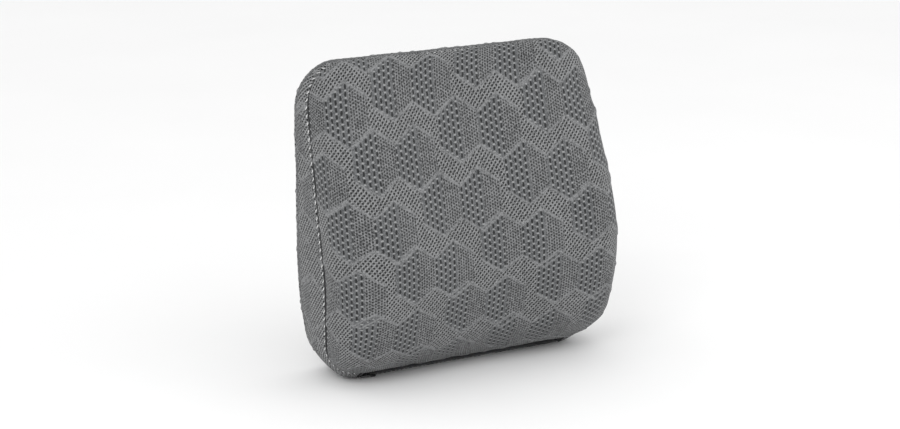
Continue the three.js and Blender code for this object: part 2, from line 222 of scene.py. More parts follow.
def outward(surface, u, v, du, dv):
    """Unit directions that point out of a surface of two parameters."""
    across = surface(u + du, v) - surface(u - du, v)
    down = surface(u, v + dv) - surface(u, v - dv)
    n = np.cross(down, across)
    return n / np.maximum(np.linalg.norm(n, axis=-1, keepdims=True), 1e-12)


# %% [markdown]
# ## Stuffing the cover
# A drawn cushion looks stiff. The real cover is pulled tight by its seams and pushed out by the foam, so a
# coarse closed cover is sewn here and inflated by a short cloth simulation with its seams held. How far
# each point moved is kept, capped, and added to the fine panels.

# %% Coarse cover and its inflation
RING = 48
COARSE_WALL = 8
PUFF_CAP = 6 * MM
PRESSURE = 4
CLOTH_FRAMES = 20


def coarse_cover():
    """Grids of points for the front, the wall and the back."""
    t, m = square_grid(RING + 1)
    ring_t = np.linspace(0, 4, 4 * RING, endpoint=False)
    shares = np.linspace(0, 1, COARSE_WALL + 1)[:, None]
    wall_t = np.broadcast_to(ring_t, (COARSE_WALL + 1, 4 * RING))
    strip = wall(wall_t, shares * (wall_depth(wall_t) - BACK_EDGE_RADIUS))
    return front(t, m), strip, back(t, m)


def grid_faces(rows, columns, first, flip=False, loop=False):
    """The four-sided faces of a grid whose points are numbered from first."""
    i, j = np.meshgrid(np.arange(rows - 1), np.arange(columns if loop else columns - 1), indexing="ij")
    after = (j + 1) % columns
    here, below = i * columns, (i + 1) * columns
    quads = np.stack([here + j, here + after, below + after, below + j], -1)
    quads = quads.reshape(-1, 4) + first
    return quads[:, ::-1] if flip else quads


coarse = coarse_cover()
print("coarse cover:", [p.shape[:2] for p in coarse], "points")


# %% Inflate it
def new_object(name, data):
    """An object in the scene that holds some data."""
    piece = bpy.data.objects.new(name, data)
    scene.collection.objects.link(piece)
    return piece


def inflate(parts):
    """Moves of each part's points when the sewn cover is blown up with its seams held."""
    points = np.concatenate([p.reshape(-1, 3) for p in parts])
    firsts = np.cumsum([0] + [p.shape[0] * p.shape[1] for p in parts])
    faces = np.concatenate([
        grid_faces(RING + 1, RING + 1, firsts[0]),
        grid_faces(COARSE_WALL + 1, 4 * RING, firsts[1], flip=True, loop=True),
        grid_faces(RING + 1, RING + 1, firsts[2], flip=True),
    ])
    mesh = bpy.data.meshes.new("cover_blank")
    mesh.from_pydata(points.tolist(), [], faces.tolist())
    blank = new_object("cover_blank", mesh)
    held = blank.vertex_groups.new(name="held")
    seams = [firsts[1] + np.arange(4 * RING), firsts[1] + COARSE_WALL * 4 * RING + np.arange(4 * RING)]
    edge = np.zeros((RING + 1, RING + 1), bool)
    edge[[0, -1]] = edge[:, [0, -1]] = True
    rim = np.flatnonzero(edge.ravel())
    held.add(np.concatenate(seams + [rim + firsts[0], rim + firsts[2]]).tolist(), 1.0, "REPLACE")
    cloth = blank.modifiers.new("stuffing", "CLOTH")
    cloth.settings.vertex_group_mass = "held"
    cloth.settings.use_pressure = True
    cloth.settings.uniform_pressure_force = PRESSURE
    cloth.settings.quality = 6
    cloth.settings.effector_weights.gravity = 0
    for number in range(1, CLOTH_FRAMES + 1):
        scene.frame_set(number)
    done = blank.evaluated_get(bpy.context.evaluated_depsgraph_get())
    moved = np.empty(len(points) * 3, np.float32)
    done.data.vertices.foreach_get("co", moved)
    scene.frame_set(1)
    bpy.data.objects.remove(blank)
    moves = np.linalg.norm(moved.reshape(-1, 3) - points, axis=1)
    return [moves[a:b].reshape(p.shape[:2]) for p, a, b in zip(parts, firsts, firsts[1:])]


PUFFS = [PUFF_CAP * np.tanh(p / PUFF_CAP) for p in inflate(coarse)]
print("inflation:", [f"{p.min() / MM:.1f} to {p.max() / MM:.1f} mm" for p in PUFFS])


# %% Coarse moves read on a fine grid
def soften(grid, passes=3, reach=3):
    """A grid blurred by short runs of averaging, with its edges held."""
    for _ in range(passes):
        for axis in (0, 1):
            padded = np.pad(grid, [(reach, reach) if a == axis else (0, 0) for a in (0, 1)], mode="edge")
            runs = [np.take(padded, np.arange(grid.shape[axis]) + k, axis) for k in range(2 * reach + 1)]
            grid = sum(runs) / len(runs)
    return grid


def sample(grid, r, c):
    """A grid's values between its points, at row r and column c."""
    i = np.clip(r.astype(int), 0, grid.shape[0] - 2)
    j = np.clip(c.astype(int), 0, grid.shape[1] - 2)
    u, v = r - i, c - j
    if grid.ndim == 3:
        u, v = u[..., None], v[..., None]
    near = (1 - v) * grid[i, j] + v * grid[i, j + 1]
    far = (1 - v) * grid[i + 1, j] + v * grid[i + 1, j + 1]
    return (1 - u) * near + u * far


def enlarge(grid, rows, columns):
    """Coarse values at rows and columns given as places from 0 to 1."""
    return sample(grid, rows[:, None] * (grid.shape[0] - 1), columns[None] * (grid.shape[1] - 1))


# %% [markdown]
# ## The jacquard knit
# The cloth is knitted in two heights. Pairs of tall six-sided cells stand in slanting rows. The left half of
# each cell is pierced by staggered slits, the right half by pin dots, and smooth raised ridges run over
# their tops in a zigzag. Between the pairs is a cross-hatched ground. The cells are made as real relief in
# the cloth, and the slits and dots, which are finer than the mesh, in its material.

# %% Where each part of the pattern lies
CELL_HALF_WIDTH = 24 * MM
CELL_RISE = 15.2 * MM
PAIR_STEP = np.array([64.9, -46.1]) * MM
ROW_STEP = np.array([-41.7, -64.8]) * MM
PAIR_START = np.array([-120.0, 266.0]) * MM
PARTNER = np.array([48.0, -1.2]) * MM
RIDGE_HALF_WIDTH = 1.6 * MM
CELL_EDGE = 1.5 * MM
SLIT_SHARE_END = 4 * MM
SLIT_SHARE_EDGE = 2 * MM
WALE_LEAN = np.array([0.3, 0.12, 0.02, -0.08, -0.2, -0.25, -0.25])


def lean(v):
    """How far the knit's columns are pulled aside at height v by the crown."""
    heights = np.linspace(-0.4, 1.6, 801) * HEIGHT
    pulled = np.cumsum(with_height(WALE_LEAN, heights)) * (heights[1] - heights[0])
    return np.interp(v, heights, pulled) - np.interp(0.45 * HEIGHT, heights, pulled)


def knit_pattern(u, v):
    """Shares of slit ground, ridge and cross-hatch at cloth places u, v."""
    steps = np.linalg.inv(np.column_stack([PAIR_STEP, ROW_STEP]))
    place = np.stack([u, v], -1) - PAIR_START
    near = np.round(place @ steps.T)
    inside = np.full(u.shape, -1.0)
    offset = np.zeros(u.shape)
    ridge = np.zeros(u.shape)
    for i in (-2, -1, 0, 1, 2):
        for j in (-2, -1, 0, 1, 2):
            corner = (near + (i, j)) @ np.column_stack([PAIR_STEP, ROW_STEP]).T
            for partner in (0, 1):
                local = place - corner - partner * PARTNER
                across = local[..., 0] + lean(v) - lean(v - local[..., 1] - 2 * CELL_RISE)
                below = -local[..., 1]
                slope = CELL_RISE * np.abs(across) / CELL_HALF_WIDTH
                top, foot = below - slope, 4 * CELL_RISE - slope - below
                depth = np.minimum(np.minimum(top, foot), CELL_HALF_WIDTH - np.abs(across))
                better = depth > inside
                inside = np.where(better, depth, inside)
                offset = np.where(better, across, offset)
                within = np.clip((CELL_HALF_WIDTH + CELL_EDGE - np.abs(across)) / (2 * CELL_EDGE), 0, 1)
                rail = np.exp(-((np.minimum(np.abs(top), np.abs(foot)) / RIDGE_HALF_WIDTH) ** 2))
                ridge = np.maximum(ridge, within * rail)
    cell = np.clip(inside / CELL_EDGE + 0.5, 0, 1)
    left = np.clip(0.5 - (offset - SLIT_SHARE_END) / SLIT_SHARE_EDGE, 0, 1)
    return cell * left * (1 - ridge), ridge, (1 - cell) * (1 - ridge)


# %% [markdown]
# ## A panel of cloth
# Each panel starts as a grid of points on the cushion's shape. It gets the puff, the knit's relief, and the
# way that cloth dives into a seam with small puckers beside it. Then it is closed into a real sheet: a thin
# rim goes down into the seam, and a coarse inner face joins it underneath.

# %% Seam profile
GROOVE_DEPTH = 2.2 * MM
GROOVE_HALF_WIDTH = 2.5 * MM
ROLL_HEIGHT, ROLL_AT, ROLL_HALF_WIDTH = 0.5 * MM, 4.5 * MM, 3 * MM
PUCKER_PITCH, PUCKER_REACH = 8 * MM, 4 * MM
DRIFT_STEP = 17 * MM
SLACK_HEIGHT, SLACK_START, SLACK_REACH = 0.55 * MM, 3 * MM, 22 * MM
SLACK_WAVE, SLACK_WAVE_STEP = 9 * MM, 4 * MM
rng = np.random.default_rng(7)
WANDER = rng.uniform(0, 2 * math.pi, 12)


def seam_dip(distance, along, pucker):
    """How far the cloth stands out near a seam, from the distance to it and the place along it."""
    groove = -GROOVE_DEPTH * np.exp(-((distance / GROOVE_HALF_WIDTH) ** 2))
    roll = ROLL_HEIGHT * np.exp(-(((distance - ROLL_AT) / ROLL_HALF_WIDTH) ** 2))
    drift = sum(np.sin(along / (DRIFT_STEP * (k + 1)) + w) for k, w in enumerate(WANDER[:4])) / 2
    ripple = np.sin(2 * math.pi * along / PUCKER_PITCH + drift)
    return groove + roll + pucker * ripple * np.exp(-distance / PUCKER_REACH) * (1 - np.exp(-distance / MM))


def slack(along, distance):
    """Long soft waves where the tight cloth meets a seam."""
    lengths = [SLACK_WAVE + SLACK_WAVE_STEP * k for k in range(5)]
    waves = sum(np.sin(along / lengths[k] + w) / (k + 2) for k, w in enumerate(WANDER[4:9]))
    return SLACK_HEIGHT * waves * np.exp(-distance / SLACK_REACH) * (1 - np.exp(-distance / SLACK_START))


# %% Closed sheet from a grid
CLOTH_THICKNESS = 1.6 * MM
INNER_STEP = 8


def sewn_sheet(name, points, normals, uv, knit, material):
    """A closed piece of cloth: fine outside, a rim, and a coarse inside."""
    rows, columns = points.shape[:2]
    index = np.arange(rows * columns).reshape(rows, columns)
    rim = np.concatenate([index[0, :-1], index[:-1, -1], index[-1, :0:-1], index[:0:-1, 0]])
    coarse_index = index[::INNER_STEP, ::INNER_STEP]
    inner = np.unique(np.concatenate([rim, coarse_index.ravel()]))
    lookup = np.full(rows * columns, -1)
    lookup[inner] = rows * columns + np.arange(len(inner))
    flat_points = points.reshape(-1, 3)
    inner_points = flat_points[inner] - normals.reshape(-1, 3)[inner] * CLOTH_THICKNESS
    faces = grid_faces(rows, columns, 0).tolist()
    ahead = np.roll(rim, -1)
    faces += np.stack([ahead, rim, lookup[rim], lookup[ahead]], -1).tolist()
    for i in range(0, rows - 1, INNER_STEP):
        for j in range(0, columns - 1, INNER_STEP):
            block = index[i:i + INNER_STEP + 1, j:j + INNER_STEP + 1]
            low, high, left, right = block[0], block[-1], block[:, 0], block[:, -1]
            low = low if i == 0 else low[[0, -1]]
            right = right if j + INNER_STEP == columns - 1 else right[[0, -1]]
            high = high if i + INNER_STEP == rows - 1 else high[[0, -1]]
            left = left if j == 0 else left[[0, -1]]
            ring = np.concatenate([low[:-1], right[:-1], high[:0:-1], left[:0:-1]])
            faces.append(lookup[ring][::-1].tolist())
    mesh = bpy.data.meshes.new(name)
    mesh.from_pydata(np.concatenate([flat_points, inner_points]).tolist(), [], faces)
    source = np.concatenate([np.arange(rows * columns), inner])
    corners = np.empty(len(mesh.loops), np.int32)
    mesh.loops.foreach_get("vertex_index", corners)
    layer = mesh.uv_layers.new(name="cloth")
    layer.data.foreach_set("uv", uv.reshape(-1, 2)[source][corners].astype(np.float32).ravel())
    shares = mesh.color_attributes.new("knit", "FLOAT_COLOR", "POINT")
    shares.data.foreach_set("color", knit.reshape(-1, 4)[source].astype(np.float32).ravel())
    mesh.shade_smooth()
    mesh.materials.append(material)
    print(name + ":", rows, "x", columns, "points,", sum(len(f) - 2 for f in faces), "triangles")
    return new_object(name, mesh)


# %% A knitted panel
SURFACES = {}
FLOOR_GAP = 0.2 * MM
RIDGE_RELIEF, SLIT_RELIEF, HATCH_RELIEF = 0.7 * MM, 0.35 * MM, 0.1 * MM


def knitted(name, points, normals, uv, puff, dip, material, cells=None):
    """A panel with its knit relief, puff and seam dips, as a closed sheet.

    cells gives the places of the six-sided cells. A panel without them is knitted plain.
    """
    plain = cells is None
    cells = uv if plain else cells
    slit, ridge, hatch = knit_pattern(cells[..., 0], cells[..., 1])
    if plain:
        hatch, slit = hatch + slit, 0 * slit
    else:
        uv = uv + np.stack([lean(uv[..., 1]), 0 * uv[..., 1]], -1)
    relief = RIDGE_RELIEF * ridge - SLIT_RELIEF * soften(slit, 1, 1) - HATCH_RELIEF * hatch
    near_seam = np.clip(-dip / MM, 0, 1)
    height = puff + dip + relief * (1 - near_seam)
    knit = np.stack([slit, ridge, hatch, np.ones_like(slit)], -1)
    SURFACES[name] = points + normals * height[..., None]
    SURFACES[name][..., 2] = np.maximum(SURFACES[name][..., 2], FLOOR_GAP)
    return sewn_sheet(name, SURFACES[name], normals, uv, knit, material)


# %% [markdown]
# ## Materials
# Polyester jacquard scatters light from thousands of fine loops, so it is matt, with a faint sheen at
# grazing angles. Its colour hardly changes: the pattern shows through its height and through slits that
# hold shadow. The shadow in the slits, dots and hatch is painted into the colour, and so are painted shade
# on the sunk slit ground and painted highlights on the raised ridges and on the loops between slits and hatch.

# %% Material tools
def linear(code):
    """An sRGB hex colour as linear RGBA."""
    parts = [int(code[i:i + 2], 16) / 255 for i in (1, 3, 5)]
    return [p / 12.92 if p <= 0.04045 else ((p + 0.055) / 1.055) ** 2.4 for p in parts] + [1.0]


def add(tree, kind, inputs=None, **settings):
    """A node with its settings, and its inputs set to values or linked from sockets."""
    node = tree.nodes.new(kind)
    for key, value in settings.items():
        setattr(node, key, value)
    for key, value in (inputs or {}).items():
        if isinstance(value, bpy.types.NodeSocket):
            tree.links.new(value, node.inputs[key])
        else:
            node.inputs[key].default_value = value
    return node


def blank_material(name, **surface):
    """A new material's tree and its main shader."""
    material = bpy.data.materials.new(name)
    material.use_nodes = True
    tree = material.node_tree
    shader = tree.nodes["Principled BSDF"]
    for key, value in surface.items():
        shader.inputs[key.replace("_", " ")].default_value = value
    return material, tree, shader


def repeat(tree, u, v, pitch_u, pitch_v, stagger):
    """Places within a staggered cell, in millimetres from the cell's middle."""
    column = add(tree, "ShaderNodeMath", {0: u, 1: pitch_u}, operation="DIVIDE").outputs[0]
    whole = add(tree, "ShaderNodeMath", {0: column}, operation="FLOOR").outputs[0]
    odd = add(tree, "ShaderNodeMath", {0: whole, 1: 2.0}, operation="FLOORED_MODULO").outputs[0]
    row = add(tree, "ShaderNodeMath", {0: v, 1: pitch_v}, operation="DIVIDE").outputs[0]
    row = add(tree, "ShaderNodeMath", {0: odd, 1: stagger, 2: row}, operation="MULTIPLY_ADD").outputs[0]
    local = []
    for share, pitch in ((column, pitch_u), (row, pitch_v)):
        part = add(tree, "ShaderNodeMath", {0: share}, operation="FRACT").outputs[0]
        part = add(tree, "ShaderNodeMath", {0: part, 1: pitch, 2: -pitch / 2}, operation="MULTIPLY_ADD")
        local.append(part.outputs[0])
    return local


def hole(tree, local, half_u, half_v, edge):
    """1 inside an oval spot, 0 outside, with an edge as soft as a share of its size. Spots mark holes and also
    painted highlights on loops.
    """
    spot = add(tree, "ShaderNodeCombineXYZ", {0: local[0], 1: local[1]}).outputs[0]
    scaled = add(tree, "ShaderNodeVectorMath", {0: spot, 1: (1 / half_u, 1 / half_v, 0)}, operation="MULTIPLY")
    radius = add(tree, "ShaderNodeVectorMath", {0: scaled.outputs[0]}, operation="LENGTH").outputs["Value"]
    return add(tree, "ShaderNodeMapRange", {"Value": radius, "From Min": 1 + edge, "From Max": 1 - edge},
               interpolation_type="SMOOTHSTEP").outputs[0]


# %% Jacquard knit
# In millimetres. A real stitch of this knit is about 0.6 mm, which is too fine to show, so its loops are
# drawn twice as coarse.
SLIT_PITCH, SLIT_HALF, SLIT_EDGE = (5.6, 6.6), (1.1, 2.35), 0.25
# The loops between slits and at the hatch's crossings carry painted highlights, in ovals of these sizes.
BRIDGE_HIGHLIGHT_HALF, BRIDGE_HIGHLIGHT_EDGE = (1.4, 0.85), 0.4
DOT_PITCH, DOT_HALF, DOT_EDGE = (2.9, 3.1), (0.85, 0.95), 0.5
HATCH_PITCH, HATCH_HALF, HATCH_EDGE = (3.5, 3.5), (1.15, 1.0), 0.45
CROSSING_HIGHLIGHT_HALF, CROSSING_HIGHLIGHT_EDGE = (0.75, 1.1), 0.5
HATCH_TURN = math.radians(42)
LOOP_PITCH = 1.2
WOBBLE = (1.3, 1.3, 0)
STAGGER = 0.5
YARN_DARK, YARN_LIGHT = "#252627", "#848586"
# Painted shadow for the holes, painted shade for the sunk slit ground, painted highlights for the ridges and the
# loops.
SHADOW, SUNK_GROUND_SHADE, RIDGE_HIGHLIGHT, LOOP_HIGHLIGHT = "#111213", "#484a4c", "#8c8d8e", "#acadad"


def jacquard_knit():
    """Grey melange polyester: matt loops, shadowed slits, fine dots and a hatched ground, with painted shadow in
    the holes, painted shade on the sunk ground and painted highlights on ridges and loops.
    """
    material, tree, shader = blank_material("jacquard_polyester_knit", Roughness=0.92, Specular_IOR_Level=0.25,
                                            Sheen_Weight=0.1, Sheen_Roughness=0.5)
    cloth = add(tree, "ShaderNodeUVMap", uv_map="cloth").outputs[0]
    mm = add(tree, "ShaderNodeVectorMath", {0: cloth, "Scale": 1 / MM}, operation="SCALE").outputs[0]
    wobble = add(tree, "ShaderNodeTexNoise", {"Vector": mm, "Scale": 0.3, "Detail": 2.0}).outputs["Color"]
    mm = add(tree, "ShaderNodeVectorMath", {0: wobble, 1: WOBBLE, 2: mm}, operation="MULTIPLY_ADD").outputs[0]
    u, v = add(tree, "ShaderNodeSeparateXYZ", {0: mm}).outputs[:2]
    turned = add(tree, "ShaderNodeVectorRotate", {"Vector": mm, "Angle": HATCH_TURN}, rotation_type="Z_AXIS")
    p, q = add(tree, "ShaderNodeSeparateXYZ", {0: turned.outputs[0]}).outputs[:2]
    half_down = add(tree, "ShaderNodeMath", {0: v, 1: SLIT_PITCH[1] / 2}, operation="ADD").outputs[0]
    half_aside = add(tree, "ShaderNodeMath", {0: p, 1: HATCH_PITCH[0] / 2}, operation="ADD").outputs[0]
    knit = add(tree, "ShaderNodeVertexColor", layer_name="knit").outputs[0]
    slit_ground, ridge, hatch_ground = add(tree, "ShaderNodeSeparateColor", {0: knit}).outputs
    used = add(tree, "ShaderNodeMath", {0: slit_ground, 1: hatch_ground}, operation="ADD").outputs[0]
    used = add(tree, "ShaderNodeMath", {0: used, 1: ridge}, operation="ADD").outputs[0]
    dot_ground = add(tree, "ShaderNodeMath", {0: 1.0, 1: used}, operation="SUBTRACT", use_clamp=True).outputs[0]
    marks = []
    for across, down, pitch, stagger, half, edge, ground in (
        (u, v, SLIT_PITCH, STAGGER, SLIT_HALF, SLIT_EDGE, slit_ground),
        (u, v, DOT_PITCH, STAGGER, DOT_HALF, DOT_EDGE, dot_ground),
        (p, q, HATCH_PITCH, 0.0, HATCH_HALF, HATCH_EDGE, hatch_ground),
        (u, half_down, SLIT_PITCH, STAGGER, BRIDGE_HIGHLIGHT_HALF, BRIDGE_HIGHLIGHT_EDGE, slit_ground),
        (half_aside, q, HATCH_PITCH, 0.0, CROSSING_HIGHLIGHT_HALF, CROSSING_HIGHLIGHT_EDGE, hatch_ground),
    ):
        spots = hole(tree, repeat(tree, across, down, *pitch, stagger), *half, edge)
        marks.append(add(tree, "ShaderNodeMath", {0: spots, 1: ground}, operation="MULTIPLY").outputs[0])
    slits, dots, hatch, bridge_highlights, crossing_highlights = marks
    holes = 0.0
    for mark, depth in ((slits, 0.88), (dots, 0.88), (hatch, 0.98)):
        holes = add(tree, "ShaderNodeMath", {0: mark, 1: depth, 2: holes}, operation="MULTIPLY_ADD").outputs[0]
    loops = add(tree, "ShaderNodeTexVoronoi", {"Vector": mm, "Scale": 1 / LOOP_PITCH, "Randomness": 0.6}).outputs
    height = add(tree, "ShaderNodeMath", {0: holes, 1: -1.0}, operation="MULTIPLY").outputs[0]
    height = add(tree, "ShaderNodeMath", {0: loops["Distance"], 1: -0.3, 2: height}, operation="MULTIPLY_ADD")
    bump = add(tree, "ShaderNodeBump", {"Height": height.outputs[0], "Strength": 0.9, "Distance": MM}).outputs[0]
    tree.links.new(bump, shader.inputs["Normal"])
    melange = add(tree, "ShaderNodeSeparateColor", {0: loops["Color"]}).outputs[0]
    tone = add(tree, "ShaderNodeTexNoise", {"Vector": mm, "Scale": 0.02, "Detail": 3.0}).outputs["Fac"]
    tone = add(tree, "ShaderNodeMath", {0: tone, 1: 0.5, 2: melange}, operation="MULTIPLY_ADD").outputs[0]
    colour = linear(YARN_DARK)
    # Over the melange: painted shade on the sunk slit ground, painted highlight on the ridges, painted shadow in
    # the holes, painted highlights on the loops.
    for share, strength, code in (
        (tone, None, YARN_LIGHT),
        (slit_ground, 0.5, SUNK_GROUND_SHADE),
        (ridge, 0.28, RIDGE_HIGHLIGHT),
        (holes, 0.97, SHADOW),
        (bridge_highlights, 0.6, LOOP_HIGHLIGHT),
        (crossing_highlights, 0.48, LOOP_HIGHLIGHT),
    ):
        if strength is not None:
            share = add(tree, "ShaderNodeMath", {0: share, 1: strength}, operation="MULTIPLY").outputs[0]
        colour = add(tree, "ShaderNodeMix", {"Factor": share, "A": colour, "B": linear(code)}, data_type="RGBA")
        colour = colour.outputs["Result"]
    tree.links.new(colour, shader.inputs["Base Color"])
    return material


KNIT = jacquard_knit()
print("material:", KNIT.name, len(KNIT.node_tree.nodes), "nodes")

# %% Cloth places of front, wall and back
def arc(start, stop, rise, reach):
    """Length of the shoulder's quarter ellipse between two angles."""
    steps = 14
    total = np.zeros(np.broadcast(start, stop, rise).shape)
    for k in range(steps):
        a = start + (stop - start) * (k + 0.5) / steps
        total += np.hypot(rise * np.cos(a), reach * np.sin(a)) * (stop - start) / steps
    return total


CELL_STRETCH = 0.85
RISE_SHARE, RISE_LIFT = 0.7, 0.15


def front_cloth(t, m):
    """Where a point of the front lies on the flat cloth, in the stretched pattern, and from the seam."""
    scale, angle = shoulder(m)
    place, direction = outline(t)
    reach = CROWN_SHOULDER * (np.abs((place - (0, HEIGHT / 2)) * direction).sum(-1))
    points = front(t, m)
    rise = with_height(CROWN_RISES, place[..., 1] * RISE_SHARE + HEIGHT * RISE_LIFT)
    extra = arc(angle, math.pi / 2, rise, reach) - reach * np.cos(angle)
    inner = 1 - CROWN_SHOULDER
    from_seam = arc(0.0, angle, rise, reach) + (inner - np.minimum(scale, inner)) * WIDTH / 2
    flat, extra = points[..., [0, 2]], extra[..., None]
    return flat + direction * extra, flat + CELL_STRETCH * direction * extra, from_seam


def journey(t):
    """Length along the outline at t."""
    long = 2 * HALF_X + math.pi / 2 * CORNER_RADIUS
    tall = 2 * HALF_Z + math.pi / 2 * CORNER_RADIUS
    return np.interp(t, [0, 1, 2, 3, 4, 5], np.cumsum([0, long, tall, long, tall, long]))


# %% [markdown]
# ## Front panel
# This is the largest and most visible piece. Its grid is finest of all, about 0.8 mm, so that the ridges of
# the knit are real relief and catch the light.

# %% Make the front panel
FRONT_COUNT = 513
TOP_ROLL, TOP_ROLL_REACH = 7.5 * MM, 12 * MM
LOBE, LOBE_REACH = 6 * MM, 38 * MM
LOBE_HEIGHT, LOBE_SPREAD = 145 * MM, 85 * MM
SETTLE_REACH = 40 * MM
FRONT_PUCKER = 0.28 * MM
SEAM_GAP = 0.25 * MM


def make_front():
    """The front panel, with its roll over the top seam and its fuller sides."""
    t, m = square_grid(FRONT_COUNT)
    places = np.linspace(0, 1, FRONT_COUNT)
    points = front(t, m)
    safe = np.clip(m, 0.02, 1 - 1e-4)
    normals = outward(front, t, safe, 1e-4, 1e-4)
    cloth, cells, from_seam = front_cloth(t, m)
    along = journey(t)
    settled = 0.5 * PUFFS[0].max() * (1 - np.exp(-from_seam / SETTLE_REACH))
    puff = soften(enlarge(PUFFS[0], places, places)) - settled
    dip = seam_dip(from_seam, along, FRONT_PUCKER) + slack(along, from_seam)
    points[..., 1] -= SEAM_GAP * (m > 0.999)
    over_top = np.clip(outline(t)[1][..., 1], 0, 1) ** 2
    roll = TOP_ROLL * over_top * (from_seam / TOP_ROLL_REACH) * np.exp(1 - from_seam / TOP_ROLL_REACH)
    sideways = outline(t)[1][..., 0] ** 2 * np.exp(-(((points[..., 2] - LOBE_HEIGHT) / LOBE_SPREAD) ** 2))
    lobe = LOBE * sideways * (from_seam / LOBE_REACH) ** 2 * np.exp(2 - 2 * from_seam / LOBE_REACH)
    return knitted("front_cover", points, normals, cloth, puff + roll + lobe, dip, KNIT, cells)


def fit(piece, node=None, body="cushion"):
    """Hides the drawn node that a piece stands for, if one is given, and hangs the piece on the body it rides on.
    """
    if node:
        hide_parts(node)
    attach(piece, body)


fit(make_front(), "front_panel")

# %% [markdown]
# ## Side wall
# One long strip is sewn up the left side, over the top and down the right. Its cloth runs along the strip,
# so the pattern keeps its own direction round the corners.

# %% Make the side wall
FOOT_START = side_end(HALF_X)
RIGHT_FOOT, LEFT_FOOT = 1 - FOOT_START, 4 + FOOT_START
RING_PUFFS = np.concatenate([PUFFS[1], PUFFS[1], PUFFS[1][:, :1]], 1)
WALL_PUFF_SHARE = 0.8
WALL_PUCKER = 0.5 * MM
WALL_CLOTH_START = 37 * MM


def wall_panel(name, first, last, from_front, rows, columns):
    """A strip of wall between two places on the outline."""
    ring = np.linspace(first, last, columns)
    share = np.linspace(1, 0, rows)
    t = np.broadcast_to(ring, (rows, columns))
    deep = wall_depth(t) - BACK_EDGE_RADIUS
    behind = from_front + share[:, None] * (deep - from_front)
    normals = outward(wall, t, np.clip(behind, 1e-4, deep), 1e-4, 1e-5)
    along = journey(t)
    puff = WALL_PUFF_SHARE * soften(enlarge(RING_PUFFS, share, ring / 8), 2, 3)
    distance = deep - behind if from_front else np.minimum(behind, deep - behind)
    dip = seam_dip(distance, along, WALL_PUCKER) + slack(along, distance)
    for end in (journey(first), journey(last)):
        dip = np.minimum(dip, seam_dip(np.abs(along - end), behind, 0.0))
    cloth = np.stack([behind + WALL_CLOTH_START, along], -1)
    return knitted(name, wall(t, behind), normals, cloth, puff, dip, KNIT)


side_wall = wall_panel("side_wall", RIGHT_FOOT, LEFT_FOOT, 0.0, 57, 1201)
foot_wall = wall_panel("foot_wall", FOOT_START + 2e-4, RIGHT_FOOT - 2e-4, ZIP_BAND, 41, 249)
fit(side_wall, "border_strip")
fit(foot_wall, "bottom_strip")

# %% [markdown]
# ## Back panel
# The back is flat, because it leans on the chair, and rolls over the rear edge to its seam.

# %% Make the back panel
BACK_COUNT = 353
BACK_PUFF_SHARE, BACK_PUFF_AT = 0.3, 30 * MM
BACK_PUCKER = 0.35 * MM
BACK_CLOTH_START = (0.02, 0.01)


def make_back():
    """The back panel, puffed only where it rolls to its seam."""
    t, m = (grid[::-1] for grid in square_grid(BACK_COUNT))
    places = np.linspace(0, 1, BACK_COUNT)
    points = back(t, m)
    normals = -outward(back, t, np.clip(m, 0.02, 1 - 1e-4), 1e-4, 1e-4)
    from_seam = (1 - m) / (1 - BACK_FLAT_SHARE) * BACK_EDGE_RADIUS * math.pi / 2
    along = journey(t)
    puff = BACK_PUFF_SHARE * soften(enlarge(PUFFS[2], places[::-1], places))
    puff = puff * np.exp(-((from_seam / BACK_PUFF_AT - 1) ** 2))
    dip = seam_dip(from_seam, along, BACK_PUCKER) + slack(along, from_seam)
    cloth = points[..., [0, 2]] * (-1, 1) + BACK_CLOTH_START
    return knitted("back_cover", points, normals, cloth, puff, dip, KNIT)


fit(make_back(), "back_panel")

# %% [markdown]
# ## Seam cords and stitches
# The panels are joined by an overlocked seam. Folded edges fill the bottom of the groove, and a light thread
# crosses the wall beside it in short slanting stitches. The folds are one thin tube along the seam; in front
# it is painted near black, as painted shade in the groove. The stitches all have the same shape, so a
# Geometry Nodes tree sets one thread on each place.

# %% Thread and folded edges
# Waves at a scale of 420 are 0.75 mm apart, as a sewing thread's twist is. The zip's tape has 260, for a
# rib of 1.2 mm, twice a real one's, so that it shows.
def ribbed_yarn(name, dark, light, scale=420.0, distortion=2.0, strength=0.5, depth=0.1, **surface):
    """Matt polyester yarn with fine slanting ribs, as deep in millimetres as depth says."""
    material, tree, shader = blank_material(name, **surface)
    place = add(tree, "ShaderNodeTexCoord").outputs["Object"]
    rib = add(tree, "ShaderNodeTexWave", {"Vector": place, "Scale": scale, "Distortion": distortion},
              bands_direction="DIAGONAL").outputs["Fac"]
    bump = add(tree, "ShaderNodeBump", {"Height": rib, "Strength": strength, "Distance": depth * MM}).outputs[0]
    tree.links.new(bump, shader.inputs["Normal"])
    colour = add(tree, "ShaderNodeMix", {"Factor": rib, "A": linear(dark), "B": linear(light)}, data_type="RGBA")
    tree.links.new(colour.outputs["Result"], shader.inputs["Base Color"])
    return material


SPUN = {"Roughness": 0.8, "Sheen_Weight": 0.2}
# Bright thread shows on the front seam. The inner thread and the rear fold have the knit's own greys. The front
# fold is painted near black: painted shade, for the shade deep in the seam's groove.
THREAD = ribbed_yarn("spun_polyester_thread", "#c4c5c5", "#ececeb", **SPUN)
INNER_THREAD = ribbed_yarn("grey_polyester_thread", "#77787a", "#929394", **SPUN)
SHADED_FOLD = ribbed_yarn("shaded_seam_allowance", "#141516", "#222325", **SPUN)
REAR_FOLD = ribbed_yarn("folded_seam_allowance", "#545556", "#666768", **SPUN)
print("threads and folds:", [m.name for m in (THREAD, INNER_THREAD, SHADED_FOLD, REAR_FOLD)])


